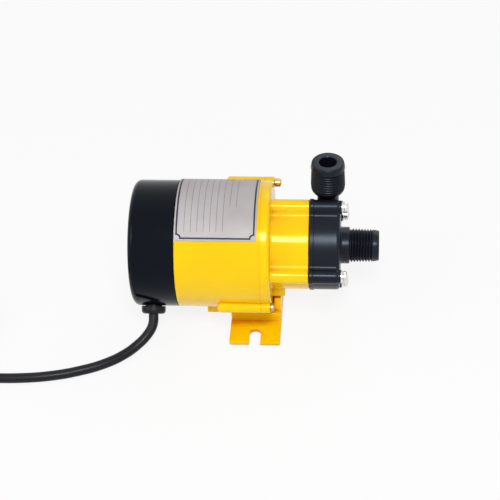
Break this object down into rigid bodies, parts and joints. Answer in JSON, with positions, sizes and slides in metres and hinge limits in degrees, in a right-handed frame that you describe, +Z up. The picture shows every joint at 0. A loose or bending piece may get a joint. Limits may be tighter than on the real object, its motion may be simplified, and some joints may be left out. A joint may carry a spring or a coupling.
{
  "type": "magnetic drive pump",
  "caption": "Small magnetic drive pump: yellow cast motor on a slotted foot, black wet end with threaded inlet and outlet, and a mains lead.",
  "frame": {"origin": "on the foot's underside, below the pump's axis and 1.3 mm behind the middle of the foot", "axes": "+X along the pump's axis towards the inlet, +Z up, out of the outlet"},
  "size_m": [0.3498, 0.1617, 0.1045],
  "materials": {
    "yellow_enamel": "gloss",
    "black_gloss": "gloss",
    "black_casing": "satin",
    "rubber": "satin",
    "label_silver": "satin",
    "bright_steel": "bright",
    "brass": "passivated",
    "lamination_iron": "varnished",
    "copper": "varnished",
    "aluminium": "cast",
    "ceramic": "polished",
    "ferrite": "ground",
    "carbon": "matt"
  },
  "bodies": {
    "pump": {"rear_cover": "black_gloss", "cover_screw_near": "bright_steel", "cover_screw_far": "bright_steel", "motor_housing": "yellow_enamel", "label_plate": "label_silver", "pump_bracket": "yellow_enamel", "foot": "yellow_enamel", "foot_screw_rear": "bright_steel", "foot_screw_front": "bright_steel", "housing_bolt_upper": "brass", "housing_bolt_lower": "brass", "stator_core": "lamination_iron", "stator_winding_front": "copper", "stator_winding_rear": "copper", "rear_end_shield": "aluminium", "bearing_preload_washer": "bright_steel", "front_bearing_outer_race": "bright_steel", "rear_bearing_outer_race": "bright_steel", "containment_can": "black_casing", "spindle": "ceramic", "thrust_ring_rear": "ceramic", "thrust_ring_front": "ceramic", "front_casing": "black_casing", "casing_o_ring": "rubber", "head_screw_top": "bright_steel", "head_screw_near": "bright_steel", "head_screw_bottom": "bright_steel", "head_screw_far": "bright_steel", "head_washer_top": "bright_steel", "head_washer_near": "bright_steel", "head_washer_bottom": "bright_steel", "head_washer_far": "bright_steel", "strain_relief": "rubber", "power_cord": "rubber", "cord_coil": "rubber", "cord_tail": "rubber", "mains_plug": "rubber"},
    "rotor": {"motor_shaft": "bright_steel", "rotor_core": "lamination_iron", "cooling_fan": "black_casing", "drive_magnet_cup": "bright_steel", "drive_magnet": "ferrite", "cup_set_screw": "bright_steel", "front_bearing_inner_race": "bright_steel", "rear_bearing_inner_race": "bright_steel"},
    "impeller": {"impeller": "black_casing", "driven_magnet": "ferrite", "magnet_cap": "black_casing", "impeller_bush": "carbon"},
    "front_ball_cage": {"front_bearing_ball_cage": "brass"},
    "rear_ball_cage": {"rear_bearing_ball_cage": "brass"}
  },
  "joints": [
    {"name": "rotor_spin", "type": "hinge", "parent": "pump", "child": "rotor", "pos_m": [0, 0, 0.0516], "axis": [1, 0, 0], "continuous": true},
    {"name": "impeller_spin", "type": "hinge", "parent": "pump", "child": "impeller", "pos_m": [0, 0, 0.0516], "axis": [1, 0, 0], "continuous": true},
    {"name": "front_cage_spin", "type": "hinge", "parent": "pump", "child": "front_ball_cage", "pos_m": [0, 0, 0.0516], "axis": [1, 0, 0], "continuous": true},
    {"name": "rear_cage_spin", "type": "hinge", "parent": "pump", "child": "rear_ball_cage", "pos_m": [0, 0, 0.0516], "axis": [1, 0, 0], "continuous": true}
  ],
  "couplings": [
    {"joint": "impeller_spin", "follows": "rotor_spin", "ratio": 1},
    {"joint": "front_cage_spin", "follows": "rotor_spin", "ratio": 0.37},
    {"joint": "rear_cage_spin", "follows": "rotor_spin", "ratio": 0.37}
  ]
}
